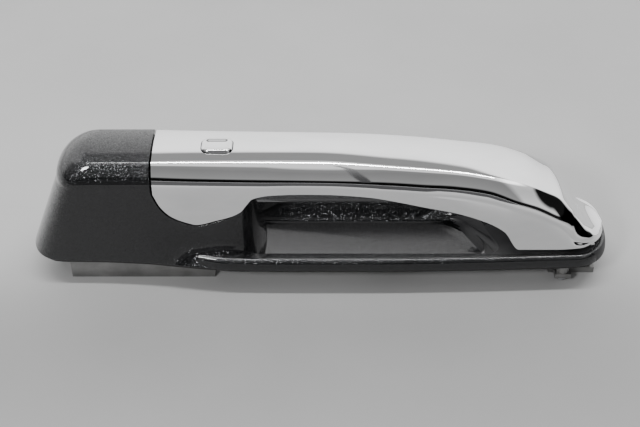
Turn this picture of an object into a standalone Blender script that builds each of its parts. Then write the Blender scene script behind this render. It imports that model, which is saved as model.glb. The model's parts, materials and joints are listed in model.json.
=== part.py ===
"""Exterior pull handle of a car door, with passive entry: a painted base with a hollow end cap and a finger
well, a chrome bow strap on a pivot pin, a lock button, and the bellcrank that works the latch rod.

It lies on its mechanism: +X runs from the end cap to the pivot, +Z points out of the door, and Z = 0 is the
lowest face of the mechanism. Lengths are millimetres, and MM turns them into metres when a mesh is made.
"""

import math

import bmesh
import bpy
import numpy as np
from mathutils import Vector

MM = 0.001
GAP = 0.3                     # clearance between pieces that rest on each other

# ---------------------------------------------------------------- driving dimensions
SEAT = 14.0                   # plane of the door skin, above the mechanism's lowest face
HALF_LENGTH = 125.25
RIM_TOP = SEAT + 5.0
WELL_FLOOR = 11.0             # upper face of the finger well's floor
WELL_SKIN = 2.0
WALL = 2.5                    # wall of the painted moulding
CREASE_TOP = 62.5             # height of the crease line along the cap and the strap's flat end
CROWN = 1.5                   # rise of the top face between its two creases
SHOULDER = 10.0               # drop from the crease to the bottom of the shoulder
FLANK = 16.4                  # half-width at the bottom of the shoulder

CAP_END_CENTRE = -111.0       # the cap's round end, at the door skin
CAP_END_DRAFT = 0.397         # lean of the end wall, mm per mm of height
PARTING = -69.4               # plane between the cap and the strap
PARTING_GAP = 0.8
COLLAR_END = -27.0
COLLAR_CENTRE = -44.0
COLLAR_TOP = 43.2
LINER_FLOOR = 21.0

STRAP_START = PARTING + PARTING_GAP / 2
STRAP_TIP = 123.3
FOOT_BOTTOM = 22.0            # underside of the strap's right end
STRAP_SKIN = 2.0
BACK_SKIN = 2.0
BACK_RECESS = 0.8             # how far the black back sits above the chrome's lower edge

DECK = SEAT + 2.2             # underside of the base's deck at the pivot end
FRAME_PAD_TOP = 10.8
FRAME_SCREWS = [(-84.0, -7.2), (-84.0, 7.2), (-51.0, 7.2)]
POST = (106.0, 13.2)          # X and Y of the bracket's two posts
PIVOT = (113.0, 16.5)         # X and Z of the strap's hinge line
CRANK = (-96.0, 22.0)         # X and Z of the bellcrank's hinge line
CRANK_ARM = 34.0
CRANK_REST = -22.0            # degrees, of the input arm
ROLLER_R = 2.5
PIN_R = 2.5
RUNNING = 0.05                # radial clearance of a pin in its bush

LEG_X = (-58.0, -55.6)        # the two faces of the release leg
LEG_SCREWS = [(-48.5, -3.4), (-48.5, 3.4)]
COVER_SCREWS = [12.0, 54.0]
HOOK_TOP = 6.1

BUTTON = (-42.6, -1.7)
BUTTON_SIZE = (12.8, 9.2)
BUTTON_RISE = 1.0
BUTTON_TRAVEL = 1.0

STUD_LEFT_X = -116.0
STUD_RIGHT_X = 78.0


# ---------------------------------------------------------------- curves
def smooth(points):
    """A monotone cubic through the points (x, y), as a function of x."""
    xs = np.array([p[0] for p in points], float)
    ys = np.array([p[1] for p in points], float)
    step = np.diff(xs)
    slope = np.diff(ys) / step
    tangent = np.zeros(len(xs))
    for i in range(1, len(xs) - 1):
        if slope[i - 1] * slope[i] > 0:
            a = 2 * step[i] + step[i - 1]
            b = step[i] + 2 * step[i - 1]
            tangent[i] = (a + b) / (a / slope[i - 1] + b / slope[i])
    tangent[0] = slope[0]
    tangent[-1] = slope[-1]

    def value(x):
        x = min(max(float(x), xs[0]), xs[-1])
        i = min(int(np.searchsorted(xs, x, side="right")) - 1, len(step) - 1)
        t = (x - xs[i]) / step[i]
        return float(
            ys[i] * (1 + 2 * t) * (1 - t) ** 2
            + step[i] * tangent[i] * t * (1 - t) ** 2
            + ys[i + 1] * t * t * (3 - 2 * t)
            + step[i] * tangent[i + 1] * t * t * (t - 1)
        )

    return value


# half-width of the base where it meets the door skin
base_half = smooth([(-111, 17.4), (-92, 17.8), (-74, 19), (-51, 22.2), (-37, 23.6), (-15, 24), (20, 24),
                    (64, 23.2), (107.5, 21.5)])
# crease line of the strap: its half-width and its height
crease_half = smooth([(-70, 12), (-51, 11.5), (0, 11), (33, 11.7), (57, 11.6), (75, 12.4), (87, 12.3), (101, 11.3),
                      (106, 8.6), (110, 5), (114.5, 0.9), (STRAP_TIP, 0.3)])
crease_height = smooth([(-70, CREASE_TOP), (-51, 62.3), (0, 61.8), (33, 59.8), (57, 57.3), (75, 54.2), (87, 50.4),
                        (96, 46), (101, 43), (106, 37.6), (110, 32.6), (114.5, 27.8), (119, 25),
                        (STRAP_TIP, 23.4)])
# lower edge of the strap's two flanks: its height and its half-width
flank_edge = smooth([(-69.1, 49.6), (-66.4, 42.8), (-61.8, 37.5), (-55, 34.2), (-52, 33.4), (-43.5, 35.6),
                     (-37, 37.8), (-33, 40.3), (-30.4, 44), (-28, 47), (-20, 49), (-8, 49.5), (2, 49.4), (20, 48),
                     (33, 45.3), (45, 42.3), (57.5, 39.5), (69.6, 35.5), (77.5, 31.2), (84.5, FOOT_BOTTOM),
                     (STRAP_TIP, FOOT_BOTTOM)])
foot_half = smooth([(50, FLANK), (70, 17.6), (84.5, 19.4), (100, 19.4), (110.8, 18.4), (116, 15.6), (119.9, 11.8),
                    (122, 7.2), (STRAP_TIP, 0.8)])


def arc(centre, radius, start, stop, count):
    """Points on an arc, in degrees, in the plane of the two coordinates."""
    angles = [math.radians(start + (stop - start) * i / (count - 1)) for i in range(count)]
    return [(centre[0] + radius * math.cos(a), centre[1] + radius * math.sin(a)) for a in angles]


def rounded_rectangle(width, depth, radius, centre=(0, 0), per_corner=4):
    """A closed outline, counter-clockwise."""
    x, y = width / 2 - radius, depth / 2 - radius
    outline = []
    for sx, sy, start in ((1, 1, 0), (-1, 1, 90), (-1, -1, 180), (1, -1, 270)):
        outline += arc((centre[0] + sx * x, centre[1] + sy * y), radius, start, start + 90, per_corner)
    return outline


def round_end(centre, a, b, power, side, count):
    """Half a superellipse from the front (-Y) to the back (+Y) round the end on this side (+1 or -1)."""
    points = []
    for i in range(count):
        angle = math.pi * i / (count - 1)
        across = -math.cos(angle)
        along = math.sin(angle)
        points.append((centre + side * a * max(along, 0.0) ** (2 / power),
                       b * math.copysign(abs(across) ** (2 / power), across)))
    return points


def base_outline(inset=0.0):
    """The base's outline in plan, counter-clockwise, moved inwards by the inset."""
    right = round_end(107.5, HALF_LENGTH - 107.5, base_half(107.5), 2.3, 1, 13)
    left = round_end(CAP_END_CENTRE, HALF_LENGTH + CAP_END_CENTRE, base_half(-111), 2, -1, 13)
    sides = [-92, -74, -51, -37, -15, 20, 42, 64, 86]
    front = [(x, -base_half(x)) for x in sides]
    back = [(x, base_half(x)) for x in reversed(sides)]
    return inward(front + right + back + left[::-1], inset)


def rim_outline():
    """The part of the base's outline that stands clear of the collar. Its left end stays inside the collar."""
    tuck = smooth([(-56, 1.6), (-45, 0)])
    front = [(x, tuck(x) - base_half(x)) for x in (-67, -60, -53, -45, -37, -15, 20, 42, 64, 86)]
    right = round_end(107.5, HALF_LENGTH - 107.5, base_half(107.5), 2.3, 1, 13)
    return front + right + [(x, -y) for x, y in reversed(front)]


def inward(outline, inset):
    """Moves each point of a counter-clockwise outline inwards along the mean of its two edges' normals."""
    if not inset:
        return outline
    points = [Vector(p) for p in outline]
    moved = []
    for i, point in enumerate(points):
        before = (point - points[i - 1]).normalized()
        after = (points[(i + 1) % len(points)] - point).normalized()
        normal = Vector((-(before.y + after.y), before.x + after.x)).normalized()
        moved.append(tuple(point + normal * inset))
    return moved


# ---------------------------------------------------------------- the skin shared by the cap and the strap
def flank_half(x, z, top):
    """Half-width of the flank below the shoulder, flaring towards the base's outline."""
    share = max(top - SHOULDER - z, 0.0) / (top - SHOULDER - SEAT)
    return FLANK + (base_half(x) - FLANK) * share ** 2


def cap_half(x, z):
    """Half-width of the cap and its collar at this height."""
    top = CREASE_TOP
    if z <= top - SHOULDER:
        return flank_half(x, z, top)
    share = (top - z) / SHOULDER
    return crease_half(-70) + (FLANK - crease_half(-70)) * (1 - (1 - share) ** 2)


def cap_end(z):
    """X of the cap's leaning end wall at this height."""
    shoulder = CREASE_TOP - SHOULDER
    x = -HALF_LENGTH + CAP_END_DRAFT * (min(z, shoulder) - SEAT)
    if z > shoulder:
        x += (FLANK - crease_half(-70)) * ((z - shoulder) / SHOULDER) ** 2
    return x


def cap_outline(z, inset=0.0, right=None):
    """Plan outline of the cap and its collar at one height, or of the cap alone up to the plane X = right."""
    end = cap_end(z) + inset
    reach = (HALF_LENGTH + CAP_END_CENTRE) * (1 - 0.3 * (z - SEAT) / (CREASE_TOP - SEAT)) - inset * 0.5
    left = round_end(end + reach, reach, cap_half(-111, z) - inset, 2.2, -1, 11)
    start, stop = end + reach, COLLAR_CENTRE if right is None else right
    sides = [start + (stop - start) * share for share in (0.2, 0.4, 0.6, 0.8, 1)]
    front = [(x, inset - cap_half(x, z)) for x in sides]
    back = [(x, cap_half(x, z) - inset) for x in reversed(sides)]
    if right is None:
        curl = round_end(COLLAR_CENTRE, COLLAR_END - COLLAR_CENTRE - inset, cap_half(COLLAR_CENTRE, z) - inset,
                         2.4, 1, 11)[1:-1]
        front += curl
    return front + back + left[::-1]


# ---------------------------------------------------------------- mesh tools
MATERIALS = {
    "paint": ((0.045, 0.047, 0.052), 0.28, 0.6),
    "chrome": ((0.85, 0.85, 0.86), 0.05, 1.0),
    "black_plastic": ((0.02, 0.02, 0.022), 0.5, 0.0),
    "rubber": ((0.015, 0.015, 0.015), 0.8, 0.0),
    "steel": ((0.55, 0.56, 0.58), 0.32, 1.0),
    "zinc": ((0.62, 0.6, 0.52), 0.38, 1.0),
    "board_green": ((0.02, 0.16, 0.06), 0.45, 0.0),
    "copper": ((0.72, 0.33, 0.15), 0.3, 1.0),
    "ferrite": ((0.06, 0.06, 0.065), 0.6, 0.0),
    "nylon": ((0.72, 0.7, 0.64), 0.5, 0.0),
}


def material(name):
    """The Principled material of this name, made on first use."""
    found = bpy.data.materials.get(name)
    if found:
        return found
    made = bpy.data.materials.new(name)
    made.use_nodes = True
    shader = made.node_tree.nodes["Principled BSDF"]
    colour, roughness, metallic = MATERIALS[name]
    shader.inputs["Base Color"].default_value = (*colour, 1)
    shader.inputs["Roughness"].default_value = roughness
    shader.inputs["Metallic"].default_value = metallic
    made.diffuse_color = (*colour, 1)
    return made


def add_object(name, mesh, finish, parent=None):
    """Links a mesh, whose points are in world metres, as a finished piece."""
    mesh.materials.append(material(finish))
    mesh.shade_smooth()
    mesh.set_sharp_from_angle(angle=math.radians(35))
    piece = bpy.data.objects.new(name, mesh)
    bpy.context.scene.collection.objects.link(piece)
    if parent:
        piece.parent = parent
        piece.matrix_parent_inverse = parent.matrix_world.inverted()
    return piece


def from_bmesh(name, work):
    """A mesh in metres from a bmesh in millimetres."""
    bmesh.ops.recalc_face_normals(work, faces=work.faces)
    bmesh.ops.scale(work, vec=(MM, MM, MM), verts=work.verts)
    mesh = bpy.data.meshes.new(name)
    work.to_mesh(mesh)
    work.free()
    return mesh


def loft(loops):
    """A closed bmesh through loops of (x, y, z), all with the same number of points."""
    work = bmesh.new()
    rows = [[work.verts.new(point) for point in loop] for loop in loops]
    count = len(rows[0])
    for lower, upper in zip(rows, rows[1:]):
        for i in range(count):
            j = (i + 1) % count
            work.faces.new((lower[i], lower[j], upper[j], upper[i]))
    work.faces.new(rows[0])
    work.faces.new(rows[-1])
    return work


def prism(outline, low, high, axis="Z"):
    """An outline raised along an axis. Its two coordinates are the other two axes in X, Y, Z order."""
    place = {
        "X": lambda p, t: (t, p[0], p[1]),
        "Y": lambda p, t: (p[0], t, p[1]),
        "Z": lambda p, t: (p[0], p[1], t),
    }[axis]
    return loft([[place(p, t) for p in outline] for t in (low, high)])


def block(low, high, bevel=0.0, segments=1):
    """A box between two corners, with its edges bevelled."""
    work = bmesh.new()
    bmesh.ops.create_cube(work, size=1)
    size = Vector(high) - Vector(low)
    bmesh.ops.scale(work, vec=size, verts=work.verts)
    bmesh.ops.translate(work, vec=(Vector(high) + Vector(low)) / 2, verts=work.verts)
    if bevel:
        bmesh.ops.bevel(work, geom=work.edges[:], offset=bevel, segments=segments, profile=0.5, affect="EDGES")
    return work


def turned(profile, axis, centre, steps=20):
    """A solid of revolution from (distance along the axis, radius) pairs."""
    loops = []
    for along, radius in profile:
        loop = []
        for i in range(steps):
            angle = 2 * math.pi * i / steps
            u, v = radius * math.cos(angle), radius * math.sin(angle)
            loop.append({
                "X": (centre[0] + along, centre[1] + u, centre[2] + v),
                "Y": (centre[0] + u, centre[1] + along, centre[2] + v),
                "Z": (centre[0] + u, centre[1] + v, centre[2] + along),
            }[axis])
        loops.append(loop)
    return loft(loops)


def tube(axis, centre, low, high, outer, inner, steps=20):
    """A ring with a square section, from low to high along the axis."""
    work = bmesh.new()
    rows = []
    for along, radius in ((low, outer), (high, outer), (high, inner), (low, inner)):
        row = []
        for i in range(steps):
            angle = 2 * math.pi * i / steps
            u, v = radius * math.cos(angle), radius * math.sin(angle)
            row.append(work.verts.new({
                "X": (centre[0] + along, centre[1] + u, centre[2] + v),
                "Y": (centre[0] + u, centre[1] + along, centre[2] + v),
                "Z": (centre[0] + u, centre[1] + v, centre[2] + along),
            }[axis]))
        rows.append(row)
    for k in range(4):
        for i in range(steps):
            j = (i + 1) % steps
            work.faces.new((rows[k][i], rows[k][j], rows[(k + 1) % 4][j], rows[(k + 1) % 4][i]))
    return work


def boolean(piece, name, cutter, operation="DIFFERENCE"):
    """Cuts or joins a bmesh into a piece with a Boolean modifier, and hides the cutter."""
    tool = bpy.data.objects.new("tool_" + name, from_bmesh("tool_" + name, cutter))
    bpy.context.scene.collection.objects.link(tool)
    tool.hide_render = True
    tool.display_type = "WIRE"
    modifier = piece.modifiers.new(name, "BOOLEAN")
    modifier.operation = operation
    modifier.solver = "EXACT"
    modifier.object = tool


def piece(name, work, finish, parent=None):
    """Adds a finished piece from one bmesh."""
    return add_object(name, from_bmesh(name, work), finish, parent)


def set_of(name, works, finish, parent=None):
    """Adds one piece for each bmesh, numbered from 1."""
    for number, work in enumerate(works, 1):
        piece(f"{name}_{number}", work, finish, parent)


def pivot(name, x, z):
    """An empty on a hinge line that runs along Y."""
    empty = bpy.data.objects.new(name, None)
    empty.location = (x * MM, 0, z * MM)
    bpy.context.scene.collection.objects.link(empty)
    bpy.context.view_layer.update()
    return empty


def screw(x, y, top, length, radius=1.5, head=2.8, head_height=1.8, down=True):
    """A pan-head screw along Z whose head's seat is at the height top."""
    sign = -1 if down else 1
    profile = [(sign * length, radius * 0.7), (sign * (length - 0.8), radius), (0, radius), (0, head),
               (-sign * head_height * 0.6, head), (-sign * head_height, head * 0.7)]
    return turned(profile, "Z", (x, y, top), 12)


def clear(x, y, low, high, radius):
    """A round cutter along Z."""
    return turned([(low, radius), (high, radius)], "Z", (x, y, 0), 12)


# ---------------------------------------------------------------- the painted base
def make_base_housing():
    """Hollow cap, collar, rim and finger well in one moulding."""
    levels = [SEAT, 18, 24, 30, 38, 46, 52.5, 55.5, 58.5, 60.8, CREASE_TOP]
    rings = [[(x, y, SEAT - 2) for x, y in cap_outline(SEAT)]]
    rings += [[(x, y, z) for x, y in cap_outline(z)] for z in levels]
    rings += [[(x, y, CREASE_TOP + CROWN * 0.75) for x, y in cap_outline(CREASE_TOP, 5)]]
    rings += [[(x, y, CREASE_TOP + CROWN) for x, y in cap_outline(CREASE_TOP, 9.5)]]
    base = piece("base_housing", loft(rings), "paint")

    rim = loft([[(x, y, z) for x, y in inward(rim_outline(), inset)]
                for inset, z in ((0, SEAT - 3), (0, SEAT), (0.6, SEAT + 2.5), (2.4, RIM_TOP))])
    boolean(base, "rim", rim, "UNION")
    boolean(base, "seat", block((-140, -40, SEAT - 8), (140, 40, SEAT)))
    tub = loft([[(x, y, z) for x, y in rounded_rectangle(length, width, 8, (30.5, 0))]
                for length, width, z in ((118, 33, WELL_FLOOR - WELL_SKIN), (123, 36.8, SEAT + 1))])
    boolean(base, "tub", tub, "UNION")

    boolean(base, "parting", prism(parting_cut(), -40, 40, "Y"))
    cap_levels = [SEAT - 6, SEAT + 4, 30, 42, 52, 57, 60.2]
    hollow = loft([[(x, y, z) for x, y in cap_outline(max(z, SEAT), WALL, PARTING - PARTING_GAP / 2 - WALL)]
                   for z in cap_levels])
    boolean(base, "cap_hollow", hollow)
    collar = loft([[(x, y, z) for x, y in collar_inside(max(z, SEAT))] for z in (SEAT - 6, 20, 30, 40, 52)])
    boolean(base, "collar_hollow", collar)
    boolean(base, "crank_slot", block((PARTING - 8, -8, SEAT - 5), (PARTING + 8, 8, 40)))
    boolean(base, "well", well_cut())
    boolean(base, "right_hollow", block((97, -17, SEAT - 4), (114, 17, DECK)))
    boolean(base, "pivot_slot", block((100, -11.6, SEAT - 4), (119.4, 11.6, RIM_TOP + 6), 1.2))
    pad = block((STUD_LEFT_X - 7.2, -8, SEAT + 0.4), (STUD_LEFT_X + 4, 8, SEAT + 3.0))
    boolean(base, "stud_pad", pad, "UNION")
    for number, (x, y) in enumerate(FRAME_SCREWS):
        side = math.copysign(1, y)
        web_bottom = 16.6 if x < PARTING else SEAT + 0.6
        for label, half, low, high, bottom in (("boss", 3.2, 4.2, 10.2, FRAME_PAD_TOP + GAP),
                                               ("web", 3.0, 9.6, cap_half(x, 17) - 1, web_bottom)):
            near, far = sorted((side * low, side * high))
            boolean(base, f"{label}_{number}", block((x - half, near, bottom), (x + half, far, 19)), "UNION")
        boolean(base, f"boss_hole_{number}", clear(x, y, 5, 16, 1.5 + GAP))
    for number, side in enumerate((-1, 1)):
        boolean(base, f"deck_hole_{number}", clear(POST[0], side * POST[1], 10, DECK + 1.6, 1.5 + GAP))


def parting_cut():
    """Outline in X and Z of everything above the U-shaped parting line."""
    left = PARTING - PARTING_GAP / 2
    line = [(x - PARTING_GAP * slant, flank_edge(x) - PARTING_GAP * 0.85) for x, slant in
            ((-66.4, 0.6), (-61.8, 0.5), (-58, 0.4), (-55, 0.2), (-52, 0), (-47, 0), (-43.5, 0), (-37, 0))]
    return [(left, 70), (left, 49.6)] + line + [(-32, 39.9), (-29.5, COLLAR_TOP), (-20, COLLAR_TOP), (-20, 70)]


def collar_inside(z):
    """Plan outline of the pocket inside the collar."""
    left = PARTING + 0.4
    half = [cap_half(x, z) - WALL for x in (left, -56, COLLAR_CENTRE)]
    curl = round_end(COLLAR_CENTRE, COLLAR_END - COLLAR_CENTRE - WALL, half[2], 2.4, 1, 11)[1:-1]
    front = [(left, -half[0]), (-56, -half[1]), (COLLAR_CENTRE, -half[2])]
    return front + curl + [(x, -y) for x, y in reversed(front)]


def well_cut():
    """The finger well: its mouth follows the rim, and its floor is smaller."""
    shapes = []
    for z, start, stop, half, radius in ((WELL_FLOOR, -26, 84, 12.5, 7), (SEAT + 1, -26.4, 87.5, 16.8, 8),
                                         (RIM_TOP - 1.2, -26.6, 92, 18.2, 8), (RIM_TOP + 6, -26.6, 93, 19.2, 8)):
        shapes.append([(x, y, z) for x, y in
                       rounded_rectangle(stop - start, half * 2, radius, ((start + stop) / 2, 0), 5)])
    return loft(shapes)


def make_gasket():
    """Rubber seal between the rim and the door skin, with the middle left open."""
    outer = base_outline(0.9)
    gasket = piece("base_gasket", prism(outer, SEAT - 1.5, SEAT - GAP), "rubber")
    inner = base_outline(4.0)
    boolean(gasket, "inside", prism(inner, SEAT - 6, SEAT + 6))


def make_pocket_liner():
    """Black tray in the collar, open at the top, with a slot for the release leg."""
    def ring(inset, z):
        left, right = PARTING + 0.9, COLLAR_END - WALL - 2.5
        centre = ((left + right) / 2, 0)
        outline = rounded_rectangle(right - left - 2 * inset, 26 - 2 * inset, 9 - inset, centre, 4)
        return [(x, y, z) for x, y in outline]

    outer = loft([ring(0.6, LINER_FLOOR - 1.6), ring(0, 31.6)])
    liner = piece("pocket_liner", outer, "black_plastic")
    boolean(liner, "inside", loft([ring(2.2, LINER_FLOOR), ring(1.6, 34)]))
    boolean(liner, "leg_slot", block((-69.5, -6.5, 17), (-50.5, 6.5, 36)))


def make_bumpers():
    """Two rubber stops on the liner's floor, under the strap's foot."""
    x = -46.8
    floor = LINER_FLOOR + GAP
    height = flank_edge(x) + BACK_RECESS - GAP - floor
    shape = [(0, 3.3), (2, 3.3), (4, 2.7), (height - 1.6, 2.5), (height - 0.6, 1.6)]
    works = [turned(shape, "Z", (x, side * 7.2, floor), 12) for side in (-1, 1)]
    set_of("strap_bumper", works, "rubber")


# ---------------------------------------------------------------- mechanism under the cap
FRAME_X = (-109.0, -46.0)
FRAME_HALF = 10.6
FRAME_SKIN = 1.8
EAR_X = (-104.0, -88.0)


def make_mechanism_frame():
    """Two side plates, joined by three cross ribs, with ears that carry the bellcrank's pin."""
    low, high = FRAME_X
    outline = [(low, 0), (high, 0), (high, 9.4), (high - 14, 10.6), (-80, 12.2), (EAR_X[1] - 2, 16)]
    outline += arc((CRANK[0], CRANK[1]), 6.2, 20, 160, 7)
    outline += [(EAR_X[0] + 1.5, 14), (low, 12.2)]
    frame = piece("mechanism_frame", prism(outline, -FRAME_HALF - FRAME_SKIN, -FRAME_HALF, "Y"), "zinc")
    boolean(frame, "far_side", prism(outline, FRAME_HALF, FRAME_HALF + FRAME_SKIN, "Y"), "UNION")
    reach = FRAME_HALF + FRAME_SKIN / 2
    for number, (x0, x1, z0, z1) in enumerate(((low + 0.4, low + 7, 7.6, 9.6), (-81.5, -78.5, 0.4, 3.0),
                                               (high - 9, high - 0.4, 0.4, 2.4))):
        boolean(frame, f"rib_{number}", block((x0, -reach, z0), (x1, reach, z1)), "UNION")
    for x, y in FRAME_SCREWS:
        side = math.copysign(1, y)
        span = sorted((side * 4.2, side * reach))
        pad = block((x - 3.6, span[0], FRAME_PAD_TOP - 2.2), (x + 3.6, span[1], FRAME_PAD_TOP))
        boolean(frame, f"pad_{x}_{y}", pad, "UNION")
        boolean(frame, f"screw_{x}_{y}", clear(x, y, 6, 14, 1.5 + GAP))
    bore = turned([(-20, PIN_R + RUNNING), (20, PIN_R + RUNNING)], "Y", (CRANK[0], 0, CRANK[1]), 20)
    boolean(frame, "pin_bore", bore)


def make_frame_screws():
    """Screws up through the frame's pads, with their heads below."""
    works = [screw(x, y, FRAME_PAD_TOP - 2.2 - GAP, 7.0, 1.5, 2.7, 1.6, down=False) for x, y in FRAME_SCREWS]
    set_of("frame_screw", works, "steel")


def pin(name, x, z, low, high, finish="steel"):
    """A plain pin along Y with a flat head at its low end and a clip groove near the other."""
    groove = high - 1.4
    profile = [(low - 1.4, 3.6), (low, 3.6), (low, PIN_R), (groove, PIN_R), (groove, 1.9), (groove + 0.8, 1.9),
               (groove + 0.8, PIN_R), (high - 0.3, PIN_R), (high, PIN_R - 0.3)]
    piece(name, turned(profile, "Y", (x, 0, z), 20), finish)
    return groove


def clip(name, x, z, groove):
    """A retaining ring in the pin's groove, open at the bottom."""
    inner, outer, thickness = 2.0, 4.2, 0.5
    gap_angle = 50
    outline = arc((x, z), outer, -90 + gap_angle, 270 - gap_angle, 15)
    outline += arc((x, z), inner, 270 - gap_angle, -90 + gap_angle, 13)
    piece(name, prism(outline, groove + 0.15, groove + 0.15 + thickness, "Y"), "steel")


def make_return_spring():
    """Torsion spring round the bellcrank's pin: coils, one leg under a frame rib, one leg on the arm."""
    wire, mean, turns, pitch, start_y = 0.6, 5.4, 3.25, 1.4, 4.6
    x, z = CRANK
    steps = int(turns * 12)
    coil = []
    for i in range(steps + 1):
        angle = math.pi - 2 * math.pi * turns * i / steps
        coil.append((x + mean * math.cos(angle), start_y + pitch * turns * i / steps, z + mean * math.sin(angle)))
    end_y = coil[-1][1]
    head = [(x - mean, start_y, z - 9.0), (x - mean, start_y, z - 4.5)]
    tail = [(x + 4, end_y, z + 5.0), (x + 8.5, end_y, z + 3.4), (x + 10.4, end_y - 2, z + 2.4),
            (x + 10.8, 0.5, z + 2.0)]
    wire_piece("return_spring", head + coil + tail, wire, "steel")


def wire_piece(name, route, radius, finish, parent=None, sides=2):
    """A round wire or lead along a route of points in millimetres."""
    curve = bpy.data.curves.new(name, "CURVE")
    curve.dimensions = "3D"
    curve.bevel_depth = radius * MM
    curve.bevel_resolution = sides - 1
    curve.use_fill_caps = True
    spline = curve.splines.new("POLY")
    spline.points.add(len(route) - 1)
    for point, place in zip(spline.points, route):
        point.co = (place[0] * MM, place[1] * MM, place[2] * MM, 1)
    curve.materials.append(material(finish))
    made = bpy.data.objects.new(name, curve)
    bpy.context.scene.collection.objects.link(made)
    if parent:
        made.parent = parent
        made.matrix_parent_inverse = parent.matrix_world.inverted()


def make_bellcrank(crank):
    """Hub with the input arm to the right, the output arm downwards, and the counterweight's arm to the left."""
    angle = math.radians(CRANK_REST)
    x, z = CRANK

    def arm(length, direction, hub, end):
        """A tapered arm seen along Y."""
        turn = math.degrees(direction)
        tip = (x + length * math.cos(direction), z + length * math.sin(direction))
        return arc((x, z), hub, turn + 110, turn + 250, 7) + arc(tip, end, turn - 80, turn + 80, 7)

    half = 2.2
    body = piece("bellcrank", prism(arm(CRANK_ARM, angle, 5, ROLLER_R - 0.35), -half, half, "Y"), "zinc", crank)
    boolean(body, "hub", turned([(-3.6, 4.6), (3.6, 4.6)], "Y", (x, 0, z), 24), "UNION")
    boolean(body, "output", prism(arm(13.5, math.radians(-93), 4.4, 3.4), -half + 0.2, half - 0.2, "Y"), "UNION")
    boolean(body, "left", prism(arm(11.4, math.radians(176), 4.4, 3.2), -half + 0.2, half - 0.2, "Y"), "UNION")
    boolean(body, "bore", turned([(-9, PIN_R + RUNNING), (9, PIN_R + RUNNING)], "Y", (x, 0, z), 24))
    tip = (x + CRANK_ARM * math.cos(angle), z + CRANK_ARM * math.sin(angle))
    boolean(body, "fork", block((tip[0] - 5.6, -1.6, tip[1] - 6), (tip[0] + 6, 1.6, tip[1] + 6)))
    # the arm's underside is relieved, so that only the roller meets the release leg's hook
    relief = [(28.0, -8.0), (38.0, -8.0), (38.0, -2.15), (34.0, -2.15), (31.0, -1.3), (28.0, -1.2)]
    cos, sin = math.cos(angle), math.sin(angle)
    under = [(x + along * cos - up * sin, z + along * sin + up * cos) for along, up in relief]
    boolean(body, "relief", prism(under, -half - 1, half + 1, "Y"))
    boolean(body, "roller_bore", turned([(-9, 1.05), (9, 1.05)], "Y", (tip[0], 0, tip[1]), 12))
    boolean(body, "rod_bore", turned([(-9, 1.7), (9, 1.7)], "Y",
                                     (x + 13.5 * math.cos(math.radians(-93)), 0,
                                      z + 13.5 * math.sin(math.radians(-93))), 16))
    roller = [(-3.4, 1.0), (-1.3, 1.0), (-1.3, ROLLER_R), (1.3, ROLLER_R), (1.3, 1.0), (3.4, 1.0)]
    piece("input_roller", turned(roller, "Y", (tip[0], 0, tip[1]), 16), "nylon", crank)

    weight_at = (x - 11.4, z + 0.8)
    halves = [prism(arc(weight_at, 4.0, 100, 440, 13), side * (half + 0.2) if side > 0 else -half - 3.4,
                    half + 3.4 if side > 0 else side * (half + 0.2), "Y") for side in (-1, 1)]
    set_of("counterweight", halves, "steel", crank)
    rod = (x + 13.5 * math.cos(math.radians(-93)), z + 13.5 * math.sin(math.radians(-93)))
    grip = [(-2.9, 3.2), (-2.3, 3.2), (-2.3, 1.6), (2.3, 1.6), (2.3, 2.2), (3.4, 1.4)]
    piece("rod_clip", turned(grip, "Y", (rod[0], 0, rod[1]), 16), "nylon", crank)


# ---------------------------------------------------------------- pivot end
EAR_HALF = 6.6                # inner face of the bracket's ears
EAR_SKIN = 2.2


def make_pivot_bracket():
    """Plate on the rest face with two ears that carry the strap's pin."""
    bracket = piece("pivot_bracket", block((101, -9.6, 0), (121, 9.6, 3)), "zinc")
    x, z = PIVOT
    ear = [(x - 7.5, 1.0), (x + 6.5, 1.0), (x + 4.8, z)] + arc((x, z), 4.8, 20, 160, 7) + [(x - 4.8, z)]
    for number, side in enumerate((-1, 1)):
        low, high = sorted((side * EAR_HALF, side * (EAR_HALF + EAR_SKIN)))
        boolean(bracket, f"ear_{number}", prism(ear, low, high, "Y"), "UNION")
    for number, side in enumerate((-1, 1)):
        span = sorted((side * 8, side * (POST[1] + 3.2)))
        wing = block((POST[0] - 3.4, span[0], 2.6), (POST[0] + 3.4, span[1], 5))
        boolean(bracket, f"wing_{number}", wing, "UNION")
        boolean(bracket, f"post_{number}", clear(POST[0], side * POST[1], 4, DECK - GAP, 3), "UNION")
        boolean(bracket, f"screw_{number}", clear(POST[0], side * POST[1], 0, 22, 1.5 + GAP))
    boolean(bracket, "pin_bore", turned([(-20, PIN_R + RUNNING), (20, PIN_R + RUNNING)], "Y", (x, 0, z), 20))


def make_bracket_screws():
    """Screws up through the bracket's posts into the base's deck, their heads below."""
    works = [screw(POST[0], side * POST[1], 2.6 - GAP, 15, 1.5, 2.7, 1.6, down=False) for side in (-1, 1)]
    set_of("bracket_screw", works, "steel")


def make_studs():
    """Threaded studs with a square-shouldered head: one under the cap, one under the well's right end."""
    def stud(x, top):
        thread = [(top, 4.2), (top - 2.4, 4.2), (top - 2.4, 2.8), (top - 2.9, 2.8)]
        crests = int((top - 4.4) / 1.8)
        for crest in range(crests):
            z = top - 3.2 - 1.8 * crest
            thread += [(z, 2.3), (z - 0.45, 2.75), (z - 0.9, 2.3)]
        thread.append((0.8, 1.9))
        return turned(thread, "Z", (x, 0, 0), 12)

    piece("mounting_stud_left", stud(STUD_LEFT_X, SEAT - GAP), "steel")
    piece("mounting_stud_right", stud(STUD_RIGHT_X, WELL_FLOOR - WELL_SKIN - GAP), "steel")


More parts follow.
